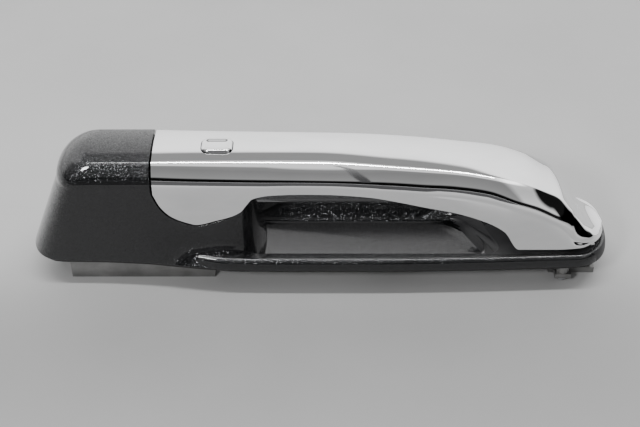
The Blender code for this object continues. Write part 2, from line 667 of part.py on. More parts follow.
def make_connector():
    """Electrical inlet under the well, open downwards, with its pins inside."""
    low, high = (20, -8, 1.2), (44, 8, WELL_FLOOR - WELL_SKIN - GAP)
    socket = piece("connector_socket", block(low, high, 0.6), "black_plastic")
    boolean(socket, "mouth", block((22, -6, -2), (42, 6, 7.0), 0.5))
    header = piece("connector_header", block((22.5, -5.5, 5.4), (41.5, 5.5, 7.0 - GAP)), "nylon")
    for x in (26, 30, 34, 38):
        for y in (-2.5, 2.5):
            pin_block = block((x - 0.4, y - 0.4, 4.4), (x + 0.4, y + 0.4, 6))
            boolean(header, f"pin_{x}_{y}", pin_block, "UNION")


# ---------------------------------------------------------------- the strap
STATIONS = [STRAP_START, -67.6, -65, -61.8, -58, -55, -52, -47, -42, -37, -33, -30.4, -28, -24, -16, -8, 8, 20, 33,
            45, 57.5, 66, 72, 77.5, 81, 84.5, 92, 99, 104, 108, 111.5, 114.5, 117.5, 120.3, 122.2, STRAP_TIP]
SECTION = 5                   # points on each stretch of a half section


def lower_half(x):
    """Half-width of the flank's lower edge."""
    if x < 50:
        return flank_half(x, flank_edge(x), CREASE_TOP) if x < -20 else FLANK
    return foot_half(x)


def half_section(x, inset=0.0):
    """(half-width, height) from the centre of the crown down to the flank's lower edge, moved inwards."""
    top, crease = crease_height(x), crease_half(x)
    low, foot = flank_edge(x), lower_half(x)
    shoulder = max(min(SHOULDER, (top - low) * 0.75), 0.2)
    side = crease + (foot - crease) * (0.82 if x > 60 else 1.0) if x > 60 else FLANK
    points = [(crease * t, top + CROWN * (1 - t * t)) for t in (0, 0.5)]
    for i in range(SECTION):
        t = i / (SECTION - 1)
        points.append((crease + (side - crease) * (1 - (1 - t) ** 2), top - shoulder * t))
    points.append(((side + foot) / 2 if x > 60 else flank_half(x, (top - shoulder + low) / 2, CREASE_TOP),
                   (top - shoulder + low) / 2))
    points.append((foot, low))
    if not inset:
        return points
    moved = []
    for i, (w, z) in enumerate(points):
        before = points[max(i - 1, 0)]
        after = points[min(i + 1, len(points) - 1)]
        along = Vector((after[0] - before[0], after[1] - before[1]))
        along = along.normalized() if along.length > 1e-6 else Vector((1, 0))
        if i == 0:
            along = Vector((1, 0))
        if i == len(points) - 1:
            along = Vector((0, -1))
        moved.append((max(w + along.y * inset, 0.0), z - along.x * inset))
    return moved


def make_strap_cover(strap):
    """Chrome shell: an upside-down U in section, closed at the tip, its left end open behind the parting line."""
    loops = []
    for x in STATIONS:
        outer = half_section(x)
        loop = [(x, -w, z) for w, z in reversed(outer)] + [(x, w, z) for w, z in outer[1:]]
        loops.append(loop)
    cover = piece("strap_cover", loft(loops), "chrome", strap)
    inner = []
    stations = [STRAP_START - 3] + [x for x in STATIONS if -69 < x < 112]
    for x in stations:
        at = max(x, STRAP_START)
        outline = half_section(at, STRAP_SKIN)
        low = flank_edge(at) - 8
        outline[-1] = (outline[-1][0], low)
        loop = [(x, -w, z) for w, z in reversed(outline)] + [(x, w, z) for w, z in outline[1:]]
        inner.append(loop)
    boolean(cover, "inside", loft(inner))
    for number, x in enumerate(COVER_SCREWS):
        floor = flank_edge(x) + BACK_RECESS + BACK_SKIN + GAP
        boolean(cover, f"boss_{number}", clear(x, 0, floor + 0.4, crease_height(x), 3.0), "UNION")
        boolean(cover, f"boss_hole_{number}", clear(x, 0, floor - 4, floor + 5.5, 1.5 + GAP))
    hole = rounded_rectangle(BUTTON_SIZE[0] + 0.8, BUTTON_SIZE[1] + 0.8, 3.2, BUTTON, 4)
    boolean(cover, "button_hole", prism(hole, 50, 72))


def inner_half(x, z, inset):
    """Half-width inside the strap's skin at this height."""
    points = sorted((high, half) for half, high in half_section(x, inset)[1:])
    return float(np.interp(z, [p[0] for p in points], [p[1] for p in points]))


def make_strap_back(strap):
    """Black inner half of the strap: floor and side walls, slots for the leg, and the pivot lug."""
    loops = []
    inset = STRAP_SKIN + 0.8
    for x in [STRAP_START + 0.3] + [s for s in STATIONS if -69 < s < 112]:
        low = flank_edge(x) + BACK_RECESS
        floor = low + BACK_SKIN
        rim = floor + min(3.4, max(crease_height(x) - floor - 6.0, 0.4))
        half = inner_half(x, low, inset)
        upper = min(half, inner_half(x, rim, inset))
        inner = upper - 1.6
        outline = [(-half, low), (half, low), (upper, rim), (inner, rim), (inner, floor), (-inner, floor),
                   (-inner, rim), (-upper, rim)]
        loops.append([(x, y, z) for y, z in outline])
    back = piece("strap_back", loft(loops), "black_plastic", strap)
    x, z = PIVOT
    lug = [(x - 5, FOOT_BOTTOM + 2)] + arc((x, z), 5, 180, 360, 11)
    lug += [(x + 4.4, z + 2.2), (x + 2.2, FOOT_BOTTOM - 0.6), (x - 1.9, FOOT_BOTTOM - 0.6)]
    lug += [(x - 1.9, FOOT_BOTTOM + 2)]
    boolean(back, "lug", prism(lug, -4.6, 4.6, "Y"), "UNION")
    boolean(back, "lug_bore", turned([(-20, 3.9), (20, 3.9)], "Y", (x, 0, z), 20))
    boolean(back, "leg_slot", block((LEG_X[0] - GAP, -5.3, 28), (LEG_X[1] + GAP, 5.3, 60)))
    for number, (sx, sy) in enumerate(LEG_SCREWS):
        boolean(back, f"leg_hole_{number}", clear(sx, sy, 28, 50, 1.5 + GAP))
    for number, sx in enumerate(COVER_SCREWS):
        boolean(back, f"cover_hole_{number}", clear(sx, 0, flank_edge(sx) - 6, flank_edge(sx) + 9, 1.5 + GAP))
        boolean(back, f"cover_seat_{number}", clear(sx, 0, flank_edge(sx) - 6, screw_seat(sx) + GAP, 3.1))


def make_release_leg(strap):
    """Steel strip: a flange in the strap's foot, a straight leg, and a hook that lifts the bellcrank's roller."""
    x0, x1 = LEG_X
    outline = [(x0 - 7.2, HOOK_TOP - 2.4), (x1, HOOK_TOP - 2.4), (x1, 39.2), (x1 + 11, 39.2), (x1 + 11, 41.4),
               (x0, 41.4), (x0, HOOK_TOP), (x0 - 7.2, HOOK_TOP)]
    leg = piece("release_leg", prism(outline, -5, 5, "Y"), "steel", strap)
    for number, (x, y) in enumerate(LEG_SCREWS):
        boolean(leg, f"screw_{number}", clear(x, y, 35, 45, 1.5 + GAP))
    works = [screw(x, y, 41.4 + GAP, 6.4) for x, y in LEG_SCREWS]
    set_of("leg_screw", works, "steel", strap)


def screw_seat(x):
    """Height of the counterbored seat of a cover screw's head."""
    return flank_edge(x) + BACK_RECESS + 0.3


def make_cover_screws(strap):
    """Screws that hold the back to the cover, their heads under the back."""
    works = [screw(x, 0, screw_seat(x), 6.0, 1.5, 2.8, 1.4, down=False) for x in COVER_SCREWS]
    set_of("cover_screw", works, "steel", strap)


def make_pivot_parts(strap):
    """Two flanged bushes in the lug: they turn with the strap on the fixed pin."""
    x, z = PIVOT
    bushes = []
    for side in (-1, 1):
        low, high = sorted((side * 0.4, side * 4.6))
        bushes.append(tube("Y", (x, 0, z), low, high, 3.9 - 0.05, PIN_R + RUNNING, 20))
    set_of("pivot_bush", bushes, "nylon", strap)


BOARD = (53.0, 54.2)          # lower and upper face of the circuit board
SWITCH_TOP = 57.4


def make_electronics(strap):
    """Circuit board with the lock switch, the antenna on its ferrite core, the touch sensor and the lead."""
    piece("circuit_board", block((-52, -9, BOARD[0]), (-10, 9, BOARD[1])), "board_green", strap)
    bx, by = BUTTON
    switch = block((bx - 3, by - 3, BOARD[1] + GAP), (bx + 3, by + 3, SWITCH_TOP), 0.3)
    piece("lock_switch", switch, "black_plastic", strap)
    seal_outer = rounded_rectangle(BUTTON_SIZE[0] + 3, BUTTON_SIZE[1] + 3, 4, BUTTON, 4)
    high = crease_height(bx) - STRAP_SKIN + 0.1
    seal = piece("button_seal", prism(seal_outer, high - 1.2, high), "rubber", strap)
    hole = rounded_rectangle(BUTTON_SIZE[0] - 3.4, BUTTON_SIZE[1] - 2.0, 2, BUTTON, 3)
    boolean(seal, "hole", prism(hole, 40, 70))
    piece("antenna_core", block((20, -4.5, 53.0), (46, -1.7, 55.8)), "ferrite", strap)
    piece("antenna_winding", tube("X", (0, -3.1, 54.4), 24, 42, 3.1, 2.2, 16), "copper", strap)
    piece("touch_sensor", block((-24, 10.2, 53.0), (40, 11.0, 55.6)), "copper", strap)
    lead = smooth([(-9, 53.6), (0, 53.7), (12, 53.2), (26, 52), (40, 50), (52, 47.5), (62, 44.5), (72, 41),
                   (80, 36.5), (90, 30.5), (97, 27.6)])
    route = [(x, 5.6, lead(x)) for x in range(-9, 98, 4)]
    wire_piece("strap_lead", route, 0.8, "rubber", strap)


def make_lock_button(button):
    """Raised button with rounded corners, and the stem that reaches its switch."""
    bx, by = BUTTON
    top = crease_height(bx) + CROWN + BUTTON_RISE
    low = crease_height(bx) - 0.6
    rings = []
    for inset, z in ((0, low), (0, top - 0.5), (0.25, top - 0.15), (0.7, top)):
        rings.append([(x, y, z) for x, y in
                      rounded_rectangle(BUTTON_SIZE[0] - 2 * inset, BUTTON_SIZE[1] - 2 * inset, 3 - inset * 0.6,
                                        BUTTON, 5)])
    cap = piece("lock_button", loft(rings), "chrome", button)
    stem = turned([(SWITCH_TOP + GAP + BUTTON_TRAVEL, 1.8), (low + 0.5, 1.8)], "Z", (bx, by, 0), 12)
    boolean(cap, "stem", stem, "UNION")


def main():
    for old in list(bpy.data.objects):
        bpy.data.objects.remove(old, do_unlink=True)
    make_base_housing()
    make_gasket()
    make_pocket_liner()
    make_bumpers()
    make_mechanism_frame()
    make_frame_screws()
    clip("bellcrank_clip", *CRANK, pin("bellcrank_pin", *CRANK, -FRAME_HALF - FRAME_SKIN - GAP,
                                       FRAME_HALF + FRAME_SKIN + 1.8))
    make_return_spring()
    make_pivot_bracket()
    make_bracket_screws()
    clip("pivot_clip", *PIVOT, pin("pivot_pin", *PIVOT, -EAR_HALF - EAR_SKIN - GAP, EAR_HALF + EAR_SKIN + 2.2))
    make_studs()
    make_connector()

    strap = pivot("strap_hinge", *PIVOT)
    make_strap_cover(strap)
    make_strap_back(strap)
    make_release_leg(strap)
    make_cover_screws(strap)
    make_pivot_parts(strap)
    make_electronics(strap)
    make_lock_button(strap)
    make_bellcrank(pivot("crank_hinge", *CRANK))


main()
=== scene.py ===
"""Looks of the car door handle: clear-coated metallic paint, mirror chrome and a soft studio, built round the
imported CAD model. Lengths in the shape functions are millimetres, as in the design; MM turns them into metres."""
import json
import math

import bmesh
import bpy
import numpy as np
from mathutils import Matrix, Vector


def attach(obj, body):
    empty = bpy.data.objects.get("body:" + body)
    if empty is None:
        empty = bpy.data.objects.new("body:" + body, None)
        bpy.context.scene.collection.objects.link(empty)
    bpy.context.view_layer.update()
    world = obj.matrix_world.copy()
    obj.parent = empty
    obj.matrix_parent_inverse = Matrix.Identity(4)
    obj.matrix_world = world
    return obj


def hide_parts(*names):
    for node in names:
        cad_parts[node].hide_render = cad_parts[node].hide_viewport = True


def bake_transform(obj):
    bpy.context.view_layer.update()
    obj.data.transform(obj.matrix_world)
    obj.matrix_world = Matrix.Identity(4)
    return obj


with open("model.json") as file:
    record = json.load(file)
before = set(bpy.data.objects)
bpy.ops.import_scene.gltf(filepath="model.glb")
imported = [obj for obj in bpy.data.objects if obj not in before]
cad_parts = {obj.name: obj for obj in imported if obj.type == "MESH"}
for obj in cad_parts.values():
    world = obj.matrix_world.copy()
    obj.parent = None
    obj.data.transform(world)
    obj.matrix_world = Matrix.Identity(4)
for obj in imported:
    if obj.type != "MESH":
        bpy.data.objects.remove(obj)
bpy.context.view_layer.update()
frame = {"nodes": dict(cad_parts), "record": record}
nodes = frame["nodes"]

MM = 0.001
SEAT = 14.0                   # height of the door skin's plane
RIM_TOP = 19.0
WELL_FLOOR = 11.0
DECK_TOP = 17.9               # flat top of the base round the well
WALL = 2.5                    # of the painted base
RIM_WALL = 1.8
CREASE_TOP = 62.5             # height of the crease between crown and shoulder, at its highest
CROWN = 1.5                   # rise of the crown over the crease
SHOULDER = 10.0               # drop of the shoulder below the crease
FLANK = 16.4                  # half-width below the shoulder
HALF_LENGTH = 125.25
CAP_CENTRE = -111.0
CAP_DRAFT = 0.397             # lean of the cap's left end, per unit of height
PARTING = -69.8               # the cap's side of the parting gap
STRAP_START = -69.0
EDGE_TOP = 49.6               # height where the strap foot's rounded lower edge begins
COLLAR_CENTRE = -44.0
COLLAR_END = -27.0
COLLAR_TOP = 43.4
RIM_CENTRE = 107.5            # where the rim starts to close round its right end
FOOT_BOTTOM = 22.0
STRAP_TIP = 123.3
STRAP_SKIN = 1.6
TIP_WALL = 0.1                # share of the strap's skin left at the tip
U_GAP = 0.75                  # width of the dark gap under the strap's foot
CRANK = (-96.0, 22.0)         # X and Z of the bellcrank's hinge line
BUTTON = (-42.6, -1.7)
BUTTON_SIZE = (12.8, 9.2)
NOSE = 104.0                  # where the strap's section starts to round off towards the tip
WELD = 0.004                  # points closer than this are one
FLAKES = 4200.0               # paint flakes per metre
FLAKE_LEAN = 0.62             # how far a flake leans out of the surface


# ---------------------------------------------------------------- curves, as in the design
def smooth(points):
    """A monotone cubic through the points (x, y), as a function of x."""
    xs = np.array([p[0] for p in points], float)
    ys = np.array([p[1] for p in points], float)
    step = np.diff(xs)
    slope = np.diff(ys) / step
    tangent = np.zeros(len(xs))
    for i in range(1, len(xs) - 1):
        if slope[i - 1] * slope[i] > 0:
            a = 2 * step[i] + step[i - 1]
            b = step[i] + 2 * step[i - 1]
            tangent[i] = (a + b) / (a / slope[i - 1] + b / slope[i])
    tangent[0] = slope[0]
    tangent[-1] = slope[-1]

    def value(x):
        x = min(max(float(x), xs[0]), xs[-1])
        i = min(int(np.searchsorted(xs, x, side="right")) - 1, len(step) - 1)
        t = (x - xs[i]) / step[i]
        return float(
            ys[i] * (1 + 2 * t) * (1 - t) ** 2
            + step[i] * tangent[i] * t * (1 - t) ** 2
            + ys[i + 1] * t * t * (3 - 2 * t)
            + step[i] * tangent[i + 1] * t * t * (t - 1)
        )

    return value


base_half = smooth([(-111, 17.4), (-92, 17.8), (-74, 19), (-51, 22.2), (-37, 23.6), (-15, 24), (20, 24),
                    (64, 23.2), (107.5, 21.5)])
CREASE_RUN = [(-70, 12), (-51, 11.5), (0, 11), (33, 11.7), (57, 11.6), (75, 12.4), (87, 12.3)]
CREASE_START = 12
# towards the tip the crown leans over to the front corner: the crease runs on in front and cuts across behind
crease_front = smooth(CREASE_RUN + [(101, 11.2), (107, 12), (110, 12.6), (114.5, 13.3), (118, 14),
                                    (STRAP_TIP, 14.4)])
crease_back = smooth(CREASE_RUN + [(99, 12.2), (103, 10.6), (107, 5.2), (110, -0.6), (114.5, -7.4), (118, -13),
                                   (STRAP_TIP, -14)])
crease_height = smooth([(-70, CREASE_TOP), (-51, 62.3), (0, 61.8), (33, 59.8), (57, 57.3), (75, 54.2), (87, 50.4),
                        (96, 46), (101, 43), (106, 37.6), (110, 32.6), (114.5, 27.8), (119, 25), (STRAP_TIP, 23.4)])
flank_edge = smooth([(-69.1, EDGE_TOP), (-66.4, 42.8), (-61.8, 37.5), (-55, 34.2), (-52, 33.4), (-43.5, 35.6),
                     (-37, 37.8), (-33, 40.3), (-30.4, 44), (-28, 47), (-20, 49), (-8, 49.5), (2, 49.4), (20, 48),
                     (33, 45.3), (45, 42.3), (57.5, 39.5), (69.6, 35.5), (77.5, 31.2), (84.5, FOOT_BOTTOM),
                     (STRAP_TIP, FOOT_BOTTOM)])
foot_half = smooth([(50, FLANK), (70, 17.6), (84.5, 19.4), (100, 19.4), (110.8, 18.4), (116, 15.6), (119.9, 11.8),
                    (122, 7.2), (STRAP_TIP, 0.8)])


def ease(low, high, x):
    """0 below low, 1 above high, smooth between."""
    t = min(max((x - low) / (high - low), 0.0), 1.0)
    return t * t * (3 - 2 * t)


def bent(start, corner, end, t):
    """Point at share t of the curve that leaves start towards the corner and turns to the end."""
    return tuple((1 - t) ** 2 * a + 2 * t * (1 - t) * b + t * t * c for a, b, c in zip(start, corner, end))


def flank_half(x, z):
    """Half-width of the flank below the shoulder, flaring out to the base's outline near the rim."""
    share = max(CREASE_TOP - SHOULDER - z, 0.0) / (CREASE_TOP - SHOULDER - SEAT)
    power = 2 + 3 * ease(-76, -46, x)
    return FLANK + (base_half(x) - FLANK) * share ** power


def cap_half(x, z, top=CREASE_TOP):
    """Half-width of the cap and its collar at this height."""
    if z <= top - SHOULDER:
        return flank_half(x, z + CREASE_TOP - top)
    share = (top - z) / SHOULDER
    return CREASE_START + (FLANK - CREASE_START) * (1 - (1 - share) ** 2)


# ---------------------------------------------------------------- mesh tools
def finished(name, work, towards=None):
    """The mesh of a bmesh, with its normals outwards, or on the side of a point in millimetres."""
    bmesh.ops.recalc_face_normals(work, faces=work.faces)
    mesh = bpy.data.meshes.new(name)
    work.to_mesh(mesh)
    work.free()
    if towards:
        point = Vector(towards) * MM
        near = min(mesh.polygons, key=lambda f: (f.center - point).length)
        if near.normal.dot(point - near.center) < 0:
            mesh.flip_normals()
    return mesh


def grid_mesh(name, columns):
    """A quad surface through columns of (x, y, z) in millimetres, all with the same number of points."""
    work = bmesh.new()
    rows = [[work.verts.new(Vector(p) * MM) for p in column] for column in columns]
    for left, right in zip(rows, rows[1:]):
        for i in range(len(left) - 1):
            work.faces.new((left[i], right[i], right[i + 1], left[i + 1]))
    bmesh.ops.remove_doubles(work, verts=work.verts, dist=WELD * MM)
    bmesh.ops.dissolve_degenerate(work, edges=work.edges, dist=WELD * MM)
    return finished(name, work)


def joined_mesh(name, groups, towards):
    """One mesh from several grids, welded where they meet."""
    work = bmesh.new()
    for columns in groups:
        part = grid_mesh("part", columns)
        work.from_mesh(part)
        bpy.data.meshes.remove(part)
    bmesh.ops.remove_doubles(work, verts=work.verts, dist=WELD * MM)
    return finished(name, work, towards)


def ring_mesh(name, loops, filled=(0, -1), towards=None):
    """A surface through closed loops of (x, y, z) in millimetres, with the loops named in filled closed off."""
    work = bmesh.new()
    rows = [[work.verts.new(Vector(p) * MM) for p in loop] for loop in loops]
    count = len(rows[0])
    for low, high in zip(rows, rows[1:]):
        for i in range(count):
            j = (i + 1) % count
            work.faces.new((low[i], low[j], high[j], high[i]))
    for k in filled:
        work.faces.new(rows[k])
    return finished(name, work, towards)


def add(name, mesh, material, body, angle=32):
    """A shown piece, smooth shaded, that rides on a body."""
    piece = bpy.data.objects.new(name, mesh)
    bpy.context.scene.collection.objects.link(piece)
    mesh.materials.clear()
    mesh.materials.append(material)
    mesh.shade_smooth()
    mesh.set_sharp_from_angle(angle=math.radians(angle))
    if body:
        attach(piece, body)
    return piece


def relax(mesh, beyond, rounds):
    """Evens out the surface to the right of an X position in millimetres, its open edge apart."""
    work = bmesh.new()
    work.from_mesh(mesh)
    chosen = [v for v in work.verts if v.co.x > beyond * MM and not v.is_boundary]
    for _ in range(rounds):
        bmesh.ops.smooth_vert(work, verts=chosen, factor=0.5, use_axis_x=True, use_axis_y=True, use_axis_z=True)
    work.to_mesh(mesh)
    work.free()


def add_wall(piece, thickness):
    """Gives a surface its wall, on the inside."""
    shell = piece.modifiers.new("wall", "SOLIDIFY")
    shell.thickness = thickness * MM
    shell.offset = -1
    return shell


def round_edges(piece, width, angle=40, segments=3):
    """A small radius on every edge sharper than the angle."""
    bevel = piece.modifiers.new("edges", "BEVEL")
    bevel.width = width * MM
    bevel.segments = segments
    bevel.limit_method = "ANGLE"
    bevel.angle_limit = math.radians(angle)
    bevel.use_clamp_overlap = True
    bevel.harden_normals = True


def cut(piece, name, cutter, angle):
    """Subtracts a hidden tool mesh from a piece, for good, and shades it smooth up to the angle."""
    tool = bpy.data.objects.new("tool_" + name, cutter)
    bpy.context.scene.collection.objects.link(tool)
    modifier = piece.modifiers.new(name, "BOOLEAN")
    modifier.operation = "DIFFERENCE"
    modifier.solver = "EXACT"
    modifier.object = tool
    bpy.context.view_layer.update()
    graph = bpy.context.evaluated_depsgraph_get()
    done = bpy.data.meshes.new_from_object(piece.evaluated_get(graph))
    piece.modifiers.clear()
    old = piece.data
    piece.data = done
    bpy.data.meshes.remove(old)
    bpy.data.objects.remove(tool, do_unlink=True)
    done.shade_smooth()
    done.set_sharp_from_angle(angle=math.radians(angle))


def prism_mesh(outline, low, high):
    """An outline in X and Y raised from low to high."""
    return ring_mesh("prism", [[(x, y, z) for x, y in outline] for z in (low, high)])


def rounded_rectangle(width, depth, radius, centre=(0, 0), per_corner=8):
    """A closed outline, counter-clockwise."""
    x, y = width / 2 - radius, depth / 2 - radius
    outline = []
    for sx, sy, start in ((1, 1, 0), (-1, 1, 90), (-1, -1, 180), (1, -1, 270)):
        for i in range(per_corner):
            a = math.radians(start + 90 * i / (per_corner - 1))
            outline.append((centre[0] + sx * x + radius * math.cos(a), centre[1] + sy * y + radius * math.sin(a)))
    return outline


def resample(outline, count):
    """The closed outline as count points, evenly spaced along it, from its point furthest to the right."""
    points = np.array(outline)
    start = int(np.argmax(points[:, 0] - np.abs(points[:, 1]) * 1e-3))
    points = np.roll(points, -start, axis=0)
    points = np.vstack([points, points[:1]])
    length = np.concatenate([[0], np.cumsum(np.linalg.norm(np.diff(points, axis=0), axis=1))])
    even = np.linspace(0, length[-1], count, endpoint=False)
    return np.stack([np.interp(even, length, points[:, k]) for k in (0, 1)], axis=1)


def offset(points, inset):
    """A counter-clockwise array of points moved inwards."""
    before = points - np.roll(points, 1, axis=0)
    after = np.roll(points, -1, axis=0) - points
    along = before / np.linalg.norm(before, axis=1)[:, None] + after / np.linalg.norm(after, axis=1)[:, None]
    normal = np.stack([-along[:, 1], along[:, 0]], axis=1)
    return points + normal / np.linalg.norm(normal, axis=1)[:, None] * inset


# ---------------------------------------------------------------- materials
def shader(name):
    """A new node material: its tree and its Principled shader."""
    made = bpy.data.materials.new(name)
    made.use_nodes = True
    tree = made.node_tree
    return made, tree, tree.nodes["Principled BSDF"]


def node(tree, kind, **values):
    """A node with its properties and its unlinked inputs set."""
    made = tree.nodes.new(kind)
    for key, value in values.items():
        if hasattr(made, key):
            setattr(made, key, value)
        else:
            made.inputs[key.replace("_", " ")].default_value = value
    return made


def position(tree, scale=(1, 1, 1)):
    """Object coordinates in metres, stretched."""
    place = tree.nodes.new("ShaderNodeTexCoord")
    stretch = tree.nodes.new("ShaderNodeMapping")
    stretch.inputs["Scale"].default_value = scale
    tree.links.new(place.outputs["Object"], stretch.inputs["Vector"])
    return stretch.outputs["Vector"]


def noise(tree, scale, detail=3.0, stretch=(1, 1, 1), roughness=0.55):
    """A noise texture's grey value."""
    made = node(tree, "ShaderNodeTexNoise", Scale=scale, Detail=detail, Roughness=roughness)
    tree.links.new(position(tree, stretch), made.inputs["Vector"])
    return made.outputs["Fac"]


def spread(tree, value, low, high, source=(0.0, 1.0)):
    """Maps a value to a range."""
    made = node(tree, "ShaderNodeMapRange", From_Min=source[0], From_Max=source[1], To_Min=low, To_Max=high)
    tree.links.new(value, made.inputs["Value"])
    return made.outputs["Result"]


def tint(tree, value, dark, light, source=(0.3, 0.7)):
    """A colour between two, by a grey value."""
    ramp = tree.nodes.new("ShaderNodeValToRGB")
    ramp.color_ramp.elements[0].position = source[0]
    ramp.color_ramp.elements[1].position = source[1]
    ramp.color_ramp.elements[0].color = (*dark, 1)
    ramp.color_ramp.elements[1].color = (*light, 1)
    tree.links.new(value, ramp.inputs["Fac"])
    return ramp.outputs["Color"]


def bump(tree, value, distance, strength):
    """A bump normal from a height, in metres."""
    made = node(tree, "ShaderNodeBump", Strength=strength, Distance=distance)
    tree.links.new(value, made.inputs["Height"])
    return made.outputs["Normal"]


def vector_math(tree, operation, first, second=None):
    """A vector node: the second input is a link, a fixed vector, or a fixed factor for SCALE."""
    made = node(tree, "ShaderNodeVectorMath", operation=operation)
    tree.links.new(first, made.inputs[0])
    entry = made.inputs["Scale"] if operation == "SCALE" else made.inputs[1]
    if isinstance(second, (float, tuple)):
        entry.default_value = second
    elif second:
        tree.links.new(second, entry)
    return made.outputs["Vector"]


def paint_material():
    """Dark grey metallic: fine flakes, each leaning its own way, under a clear coat with a faint orange peel."""
    made, tree, main = shader("metallic_paint")
    main.inputs["Metallic"].default_value = 0.9
    cloud = noise(tree, 60, 3)
    tree.links.new(spread(tree, cloud, 0.19, 0.23), main.inputs["Roughness"])
    flakes = node(tree, "ShaderNodeTexVoronoi", Scale=FLAKES, Randomness=1.0)
    tree.links.new(position(tree), flakes.inputs["Vector"])
    parts = tree.nodes.new("ShaderNodeSeparateColor")
    tree.links.new(flakes.outputs["Color"], parts.inputs["Color"])
    glint = tint(tree, parts.outputs["Blue"], (0.010, 0.0103, 0.011), (0.040, 0.041, 0.043), (0.1, 0.9))
    tree.links.new(glint, main.inputs["Base Color"])
    lean = vector_math(tree, "SUBTRACT", flakes.outputs["Color"], (0.5, 0.5, 0.5))
    scaled = vector_math(tree, "SCALE", lean, FLAKE_LEAN)
    surface = tree.nodes.new("ShaderNodeNewGeometry")
    total = vector_math(tree, "ADD", surface.outputs["Normal"], scaled)
    tree.links.new(vector_math(tree, "NORMALIZE", total), main.inputs["Normal"])
    main.inputs["Coat Weight"].default_value = 1.0
    main.inputs["Coat Roughness"].default_value = 0.03
    main.inputs["Coat IOR"].default_value = 1.44
    peel = noise(tree, 420, 2)
    tree.links.new(bump(tree, peel, 0.00003, 0.25), main.inputs["Coat Normal"])
    return made


def chrome_material():
    """Mirror chrome with a trace of haze."""
    made, tree, main = shader("mirror_chrome")
    main.inputs["Metallic"].default_value = 1.0
    smear = noise(tree, 45, 4, (1, 3, 3))
    tree.links.new(tint(tree, smear, (0.86, 0.865, 0.87), (0.93, 0.93, 0.935)), main.inputs["Base Color"])
    tree.links.new(spread(tree, smear, 0.028, 0.055), main.inputs["Roughness"])
    return made


def plastic_material(name, dark, light, rough=(0.42, 0.58), grain=900, depth=0.00003):
    """Moulded plastic or rubber with a fine grain."""
    made, tree, main = shader(name)
    broad = noise(tree, 55, 4)
    tree.links.new(tint(tree, broad, dark, light), main.inputs["Base Color"])
    tree.links.new(spread(tree, broad, *rough), main.inputs["Roughness"])
    fine = noise(tree, grain, 2)
    tree.links.new(bump(tree, fine, depth, 0.6), main.inputs["Normal"])
    return made


def metal_material(name, dark, light, rough=(0.28, 0.42), stretch=(1, 1, 1), grain=700, depth=0.00002):
    """Plated, cast or drawn metal: mottled, with grain along one direction where stretched."""
    made, tree, main = shader(name)
    main.inputs["Metallic"].default_value = 1.0
    broad = noise(tree, 90, 4, stretch)
    tree.links.new(tint(tree, broad, dark, light), main.inputs["Base Color"])
    tree.links.new(spread(tree, broad, *rough), main.inputs["Roughness"])
    fine = noise(tree, grain, 3, stretch)
    tree.links.new(bump(tree, fine, depth, 0.7), main.inputs["Normal"])
    return made


PAINT = paint_material()
CHROME = chrome_material()
BLACK = plastic_material("black_moulded", (0.010, 0.010, 0.011), (0.022, 0.022, 0.024))
RUBBER = plastic_material("black_rubber", (0.010, 0.010, 0.010), (0.020, 0.020, 0.020), (0.65, 0.85), 500, 0.00005)
ZINC = metal_material("die_cast", (0.20, 0.20, 0.198), (0.32, 0.32, 0.315), (0.38, 0.55), grain=520, depth=0.00005)
STEEL = metal_material("plated_steel", (0.44, 0.45, 0.47), (0.66, 0.67, 0.70), (0.2, 0.34), (1, 1, 6))
SPRING = metal_material("drawn_wire", (0.22, 0.22, 0.24), (0.40, 0.40, 0.43), (0.25, 0.4))
NYLON = plastic_material("natural_nylon", (0.60, 0.58, 0.50), (0.74, 0.72, 0.65), (0.35, 0.5))
BOARD = plastic_material("board_lacquer", (0.010, 0.10, 0.035), (0.02, 0.17, 0.06), (0.2, 0.35), 300)
COPPER = metal_material("enamelled_copper", (0.50, 0.20, 0.08), (0.78, 0.36, 0.16), (0.2, 0.3), (60, 1, 1), 90)
FERRITE = plastic_material("ferrite_grey", (0.03, 0.03, 0.033), (0.07, 0.07, 0.075), (0.5, 0.7))
SLOT_LOOKS = {"rubber": RUBBER, "black_plastic": BLACK, "chrome": CHROME, "zinc": ZINC, "steel": STEEL,
              "spring_steel": SPRING, "nylon": NYLON, "board": BOARD, "copper": COPPER, "ferrite": FERRITE,
              "paint": PAINT}


# ---------------------------------------------------------------- painted base
FOOT_ROWS = 34                # rows from the seat to the foot of the cap's parting edge
UPPER_ROWS = 26               # rows from there to the crease
CROWN_ROWS = 14
CAP_COLUMNS = 90
COLLAR_COLUMNS = 80
RIM_POINTS = 480


def cap_top(x):
    """Height of the crease: it drops a little round the cap's left end."""
    return CREASE_TOP - 2.2 * (1 - ease(-107, -92, x))


def crown_rise(top):
    """Rise of the crown that brings every column to the same spine height."""
    return CREASE_TOP + CROWN - top


def cap_point(share, z, top):
    """Point on the cap's front half at this height: share 0 is the left end's middle, 1 the parting plane."""
    end = -HALF_LENGTH + CAP_DRAFT * (min(z, top - SHOULDER) - SEAT)
    if z > top - SHOULDER:
        end += (FLANK - CREASE_START) * 1.1 * ((z - top + SHOULDER) / SHOULDER) ** 2
    reach = (HALF_LENGTH + CAP_CENTRE) * (1 - 0.3 * (z - SEAT) / (CREASE_TOP - SEAT))
    half = cap_half(CAP_CENTRE, z, top)
    arc_share = 0.3
    if share < arc_share:
        angle = math.pi / 2 * share / arc_share
        power = 2.2
        along = math.cos(angle) ** (2 / power)
        across = math.sin(angle) ** (2 / power)
        return end + reach * (1 - along), -half * across
    x = end + reach + (PARTING - end - reach) * (share - arc_share) / (1 - arc_share)
    return x, -cap_half(x, z, top)


